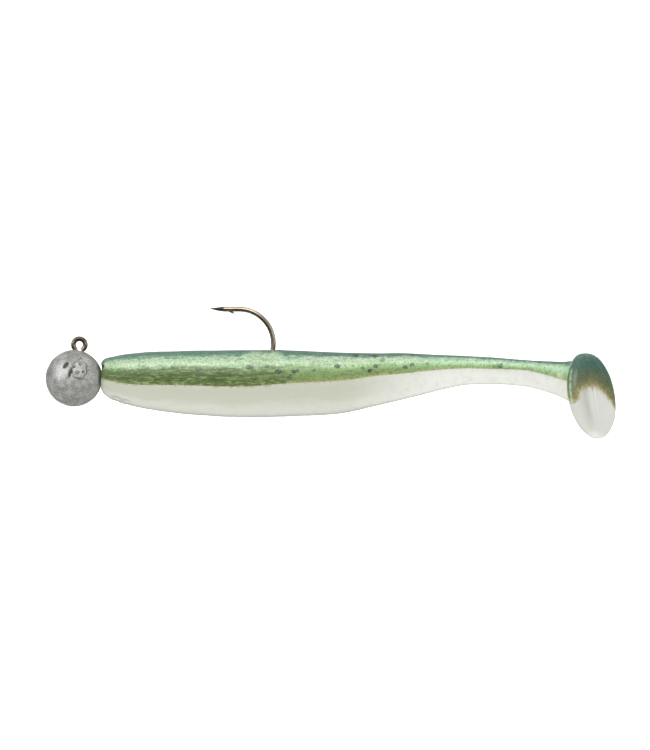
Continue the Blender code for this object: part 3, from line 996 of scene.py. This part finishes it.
def lay_flank_streaks(paint, share, streaks):
    """Streaks and mottling along the flank, most of them at the front."""
    # The thin pale line, broken up.
    line = paint.times(
        paint.fade(paint.apart(share, 0.235), 0.022, 0.008),
        paint.fade(paint.along, 42, 36),
        paint.fade(streaks, 0.42, 0.6, 0.0, 0.5),
    )
    paint.cover(line, "a9c07f")
    # Dark streaks of the olive band.
    olive = paint.times(
        paint.fade(share, 0.62, 0.46),
        paint.fade(paint.along, 48, 38),
        paint.fade(paint.along, 6.5, 14, 0.35, 1.0),
        paint.fade(paint.noise(1.1, 5.0, 0.7, (0.45, 1.8, 1.8)), 0.41, 0.57, 0.0, 0.85),
    )
    paint.cover(olive, "43521f")
    # Bright streaks between them, where the flake lies along the flow.
    lime = paint.times(
        paint.fade(paint.noise(1.3, 4.0, 0.6, (0.5, 2.6, 2.6)), 0.53, 0.64, 0.0, 0.6),
        paint.fade(paint.along, 50, 40),
        paint.fade(share, 0.6, 0.45),
        paint.fade(share, 0.03, 0.1),
    )
    paint.cover(lime, "8ca763")
    # Darker mottling where the flake is thin.
    mottle = paint.times(
        paint.fade(paint.noise(1.9, 5.0, 0.7), 0.54, 0.66, 0.0, 0.6),
        paint.fade(share, 0.75, 0.5),
        paint.fade(paint.along, 97, 90),
    )
    paint.cover(mottle, "4a6a38")


def lay_spots(paint):
    """Dark spots with ragged edges, a brown ring round the notch in the nose with painted shade in its
    hollow, faint rings, and a pale blotch.
    """
    rough_edge = paint.fade(paint.noise(2.6, 3.0, 0.7), 0.3, 0.7, -1.1, 1.1)
    for distance, height, size, strength in DARK_SPOTS:
        spot = paint.oval((distance, height), (size * 1.25, size))
        inside = paint.fade(paint.plus(spot, rough_edge), 1.7, 0.8, 0.0, strength)
        core = paint.fade(spot, 0.0, 0.3, 0.75, 1.0)
        paint.cover(paint.times(inside, core), "182b16")
    # Round the notch in the nose a pale brown ring, and painted shade darkening its hollow.
    notch = paint.oval(NOTCH_SHADE_AT, (0.75, 0.6))
    paint.cover(paint.fade(notch, 1.5, 0.7), "a59b72")
    paint.cover(paint.fade(notch, 1.0, 0.5), "3a2d22")
    for distance, height, radius, code in PALE_RINGS:
        ring = paint.apart(paint.oval((distance, height), (radius, radius)), 1.0)
        paint.cover(paint.fade(ring, 0.9, 0.2, 0.0, 0.55), code)
    # The blotch is where the stem meets the paddle.
    blotch = paint.plus(paint.oval(BLOTCH_AT, (1, 1)), paint.times(rough_edge, 0.5))
    paint.cover(paint.fade(blotch, 1.0, 0.0, 0.0, 0.4), "e4dcc6")


def lay_painted_rim_highlight(paint, blotches):
    """A painted mint highlight along the near side of the paddle's rim."""
    rim_highlight = paint.times(
        paint.fade(paint.apart(paint.behind_disc(), -0.15), 0.36, 0.12),
        paint.fade(paint.along, *PADDLE_BEGINS),
        paint.fade(paint.across, -4.4, -6.0, 0.0, 0.75),
        paint.fade(paint.height, 2.6, 1.2),
        paint.fade(blotches, 0.35, 0.55, 0.3, 1.0),
    )
    paint.cover(rim_highlight, "aacfb2")


def green_pearl():
    paint = Paint("green_pearl_plastic")
    share = paint.attribute("share_up")
    streaks = paint.noise(1.0, 5.0, 0.62, (0.35, 1.6, 1.6))
    blotches = paint.noise(1.1, 4.0, 0.6)
    lay_green_bands(paint, share, streaks, blotches)
    lay_flake(paint, share)
    lay_flank_streaks(paint, share, streaks)
    lay_spots(paint)
    lay_painted_rim_highlight(paint, blotches)
    normal = paint.bump(paint.noise(3.0, 3.0, 0.6), 0.00006, 0.5)
    roughness = paint.fade(blotches, 0.3, 0.7, 0.24, 0.42)
    return paint.finish(roughness, normal, Metallic=0.1, Coat_Weight=0.45, Coat_Roughness=0.12)


def lay_chin_folds(paint):
    """Shade in the two upper folds of the chin."""
    window = paint.times(paint.fade(paint.along, *CHIN_BEGINS), paint.fade(paint.along, 12, 10))
    for fold, _ in CHIN_FOLDS[:2]:
        turned = paint.plus(paint.times(paint.along, CHIN_WAVE_RATE), fold * CHIN_WAVE_SHIFT)
        wave = paint.times(paint.maths("SINE", turned), CHIN_WAVE_HEIGHT)
        path = paint.plus(paint.times(paint.along, -CHIN_FALL), fold + CHIN_FALL * CHIN_AT)
        off = paint.apart(paint.height, paint.plus(path, wave))
        paint.cover(paint.times(paint.fade(off, 0.22, 0.04, 0.0, 0.75), window), "8f9186")


def lay_bled_green(paint):
    """Green that bled over the line in ragged streaks, further on the paddle than on the body."""
    above = paint.attribute("above_line")
    ragged = paint.noise(1.0, 4.0, 0.7, (1.5, 2.6, 0.9))
    reach = paint.plus(above, paint.fade(ragged, 0.3, 0.7, -0.55, 0.25))
    bled = paint.fade(reach, -0.5, 0.1, 0.0, 0.75)
    paint.cover(paint.times(bled, paint.fade(paint.along, 62, 40, 0.25, 1.0)), "8a9460")
    reach = paint.plus(above, paint.fade(ragged, 0.3, 0.7, -0.9, 0.5))
    bled = paint.fade(reach, -1.3, 0.3, 0.0, 0.8)
    paint.cover(paint.times(bled, paint.fade(paint.along, 101, 102.5)), "948a58")


def pearl_white():
    paint = Paint("pearl_white_plastic")
    down = paint.times(paint.attribute("share_up"), -1.0)
    soft = paint.noise(1.0, 4.0, 0.55, (0.18, 0.9, 0.9))
    depth = paint.plus(down, paint.fade(soft, 0.2, 0.8, -0.12, 0.12))
    paint.colour = paint.ramp(depth, PEARL_FRONT_BANDS)
    # Towards the thin tail the pearl is lighter: painted glow, as of light through the plastic.
    paint.cover(paint.fade(paint.along, 50, 72), paint.ramp(depth, PEARL_REAR_BANDS_AND_GLOW))
    # Painted shade along the belly's lowest line, back as far as the stem.
    edge = paint.times(paint.fade(down, 0.88, 1.0, 0.0, 0.4), paint.fade(paint.along, 96, 90))
    paint.cover(edge, "9da194")
    paint.cover(paint.fade(paint.noise(0.8, 5.0, 0.6), 0.45, 0.75, 0.0, 0.3), "aeb1a3")
    lay_chin_folds(paint)
    # The paddle is painted brighter, a glow as of light through its thin plastic, with painted shade on the
    # near side of its rim.
    on_paddle = paint.fade(paint.along, 100.5, 101.5)
    paint.cover(paint.times(on_paddle, 0.8), "d6d7cf")
    near_rim_shade = paint.times(
        paint.fade(paint.behind_disc(), 1.75, 1.2, 0.0, 0.65),
        paint.fade(paint.across, -1.5, -4.0),
        on_paddle,
    )
    paint.cover(near_rim_shade, "b4b5ab")
    lay_bled_green(paint)
    normal = paint.bump(paint.noise(2.2, 3.0, 0.6), 0.00005, 0.4)
    roughness = paint.fade(soft, 0.3, 0.7, 0.28, 0.4)
    return paint.finish(roughness, normal, Coat_Weight=0.3, Coat_Roughness=0.12)


def cast_lead():
    paint = Paint("cast_lead")
    relief = paint.attribute("relief")
    grain = paint.noise(4.2, 5.0, 0.75)
    paint.colour = paint.ramp(paint.noise(0.6, 6.0, 0.65), LEAD_TONES)
    paint.cover(paint.fade(grain, 0.5, 0.64, 0.0, 0.85), "666764")
    # Painted highlight on the burnished flat, brighter between scratches.
    painted_highlight = paint.times(paint.attribute("worn"), paint.fade(grain, 0.35, 0.6, 1.0, 0.5))
    paint.cover(painted_highlight, "ffffff")
    # Dross: dark specks over the casting. Painted shade darkens its pits and dent, and its raised edges are
    # painted lighter.
    paint.cover(paint.fade(paint.cells(1.1, "Distance"), 0.16, 0.04, 0.0, 0.7), "4c4d4b")
    paint.cover(paint.fade(relief, -0.1, -0.34, 0.0, 0.85), "3a3b39")
    paint.cover(paint.fade(relief, 0.17, 0.26, 0.0, 0.7), "e2e3de")
    roughness = paint.fade(grain, 0.3, 0.7, 0.3, 0.5)
    return paint.finish(roughness, paint.bump(grain, 0.00015, 1.0), Metallic=0.5)


def black_nickel():
    paint = Paint("black_nickel_wire")
    paint.colour = paint.ramp(paint.noise(1.0, 3.0, 0.5, (0.5, 1, 0.5)), NICKEL_TONES)
    # Painted dark reflection over the top of the eye.
    eye = paint.fade(paint.along, 4, 3)
    paint.cover(paint.times(eye, paint.fade(paint.height, 6.9, 7.6, 0.0, 0.75)), "3b332c")
    # The ground facet of the needle point, darker than the plated wire.
    needle = paint.fade(paint.along, NEEDLE_STARTS, NEEDLE_STARTS - 0.35)
    upper = paint.fade(paint.height, SPEAR_HEIGHT - 0.06, SPEAR_HEIGHT + 0.06, 0.25, 0.93)
    paint.cover(paint.times(needle, upper), "1d1a18")
    fine = paint.noise(9.0, 3.0, 0.6)
    roughness = paint.fade(fine, 0.3, 0.7, 0.1, 0.2)
    return paint.finish(roughness, paint.bump(fine, 0.00002, 0.4), Metallic=1.0)


# ---- stage

CAMERA_DISTANCE = 0.9
CAMERA_ACROSS = 0.0479
CAMERA_HEIGHT = -0.00608
FRAME_WIDTH = 0.12675
SENSOR_WIDTH = 36
FLOOR_HEIGHT = -0.062
FLOOR_FRONT = -1.6
FLOOR_HALF_WIDTH = 2.0
BACKDROP_AT = 0.7
BACKDROP_TOP = 1.6
SWEEP_RADIUS = 0.5
SWEEP_STEPS = 24

# Each light's place, the panel's width and height, and its power.
LIGHTS = {
    "key": ((-0.43, -0.5, 0.42), (0.65, 0.65), 1.6),
    "overhead": ((0.05, -0.58, 0.56), (0.6, 0.6), 2.2),
    "front": ((0.15, -0.95, 0.06), (0.3, 0.25), 0.08),
    "left": ((-0.8, -0.26, 0.05), (0.2, 0.6), 0.15),
    "right": ((0.7, -0.45, 0.2), (0.4, 0.4), 0.5),
    "top": ((0.05, 0.05, 0.7), (0.8, 0.4), 0.4),
}
LIGHTS_AIM_AT = Vector((0.045, 0, -0.006))


def add_camera():
    """A long lens, level, square to the lure's near flank."""
    data = bpy.data.cameras.new("camera")
    data.sensor_fit = "HORIZONTAL"
    data.sensor_width = SENSOR_WIDTH
    data.lens = SENSOR_WIDTH * CAMERA_DISTANCE / FRAME_WIDTH
    data.clip_start = 0.01
    camera = linked("camera", data)
    camera.location = (CAMERA_ACROSS, -CAMERA_DISTANCE, CAMERA_HEIGHT)
    camera.rotation_euler = (math.pi / 2, 0, 0)
    bpy.context.scene.camera = camera


def floor_white():
    material = bpy.data.materials.new("floor_white")
    material.use_nodes = True
    shader = material.node_tree.nodes["Principled BSDF"]
    shader.inputs["Base Color"].default_value = (0.8, 0.8, 0.8, 1)
    shader.inputs["Roughness"].default_value = 0.9
    shader.inputs["Emission Color"].default_value = (1, 1, 1, 1)
    shader.inputs["Emission Strength"].default_value = 0.7
    return material


def add_sweep():
    """A pale floor that curves up into a backdrop, well below and behind the hanging lure."""
    bend_starts = BACKDROP_AT - SWEEP_RADIUS
    profile = [(FLOOR_FRONT, FLOOR_HEIGHT), (bend_starts, FLOOR_HEIGHT)]
    for i in range(1, SWEEP_STEPS + 1):
        angle = math.pi / 2 * i / SWEEP_STEPS
        rise = SWEEP_RADIUS * (1 - math.cos(angle))
        profile.append((bend_starts + SWEEP_RADIUS * math.sin(angle), FLOOR_HEIGHT + rise))
    profile.append((BACKDROP_AT, BACKDROP_TOP))
    verts = [(x, y, z) for y, z in profile for x in (-FLOOR_HALF_WIDTH, FLOOR_HALF_WIDTH)]
    faces = [(2 * i, 2 * i + 1, 2 * i + 3, 2 * i + 2) for i in range(len(profile) - 1)]
    mesh = bpy.data.meshes.new("floor")
    mesh.from_pydata(verts, [], faces)
    mesh.shade_smooth()
    mesh.materials.append(floor_white())
    floor_object = linked("floor", mesh)
    floor_object.visible_glossy = False


def add_lights():
    for name, (place, size, power) in LIGHTS.items():
        data = bpy.data.lights.new(name, "AREA")
        data.shape = "RECTANGLE"
        data.size, data.size_y = size
        data.energy = power
        light = linked(name, data)
        light.location = place
        light.rotation_euler = (LIGHTS_AIM_AT - Vector(place)).to_track_quat("-Z", "Y").to_euler()


def add_world():
    """Light from all round, dim from below and brighter from above."""
    world = bpy.data.worlds.new("studio")
    world.use_nodes = True
    nodes = world.node_tree.nodes
    direction = nodes.new("ShaderNodeTexCoord")
    axes = nodes.new("ShaderNodeSeparateXYZ")
    shade = nodes.new("ShaderNodeValToRGB")
    shade.color_ramp.elements[0].position = 0.35
    shade.color_ramp.elements[0].color = (0.05, 0.05, 0.05, 1)
    shade.color_ramp.elements[1].position = 0.75
    shade.color_ramp.elements[1].color = (0.75, 0.75, 0.75, 1)
    half = nodes.new("ShaderNodeMath")
    half.operation = "MULTIPLY_ADD"
    half.inputs[1].default_value = 0.5
    half.inputs[2].default_value = 0.5
    links = world.node_tree.links
    links.new(direction.outputs["Generated"], axes.inputs[0])
    links.new(axes.outputs["Z"], half.inputs[0])
    links.new(half.outputs[0], shade.inputs["Fac"])
    links.new(shade.outputs["Color"], nodes["Background"].inputs["Color"])
    nodes["Background"].inputs["Strength"].default_value = 0.6
    bpy.context.scene.world = world
    bpy.context.scene.view_settings.view_transform = "Standard"


def main():
    add_camera()
    add_sweep()
    add_lights()
    add_world()
    make_skin({"green_pearl": green_pearl(), "pearl_white": pearl_white()})
    make_hook(black_nickel())
    make_head(cast_lead())


main()
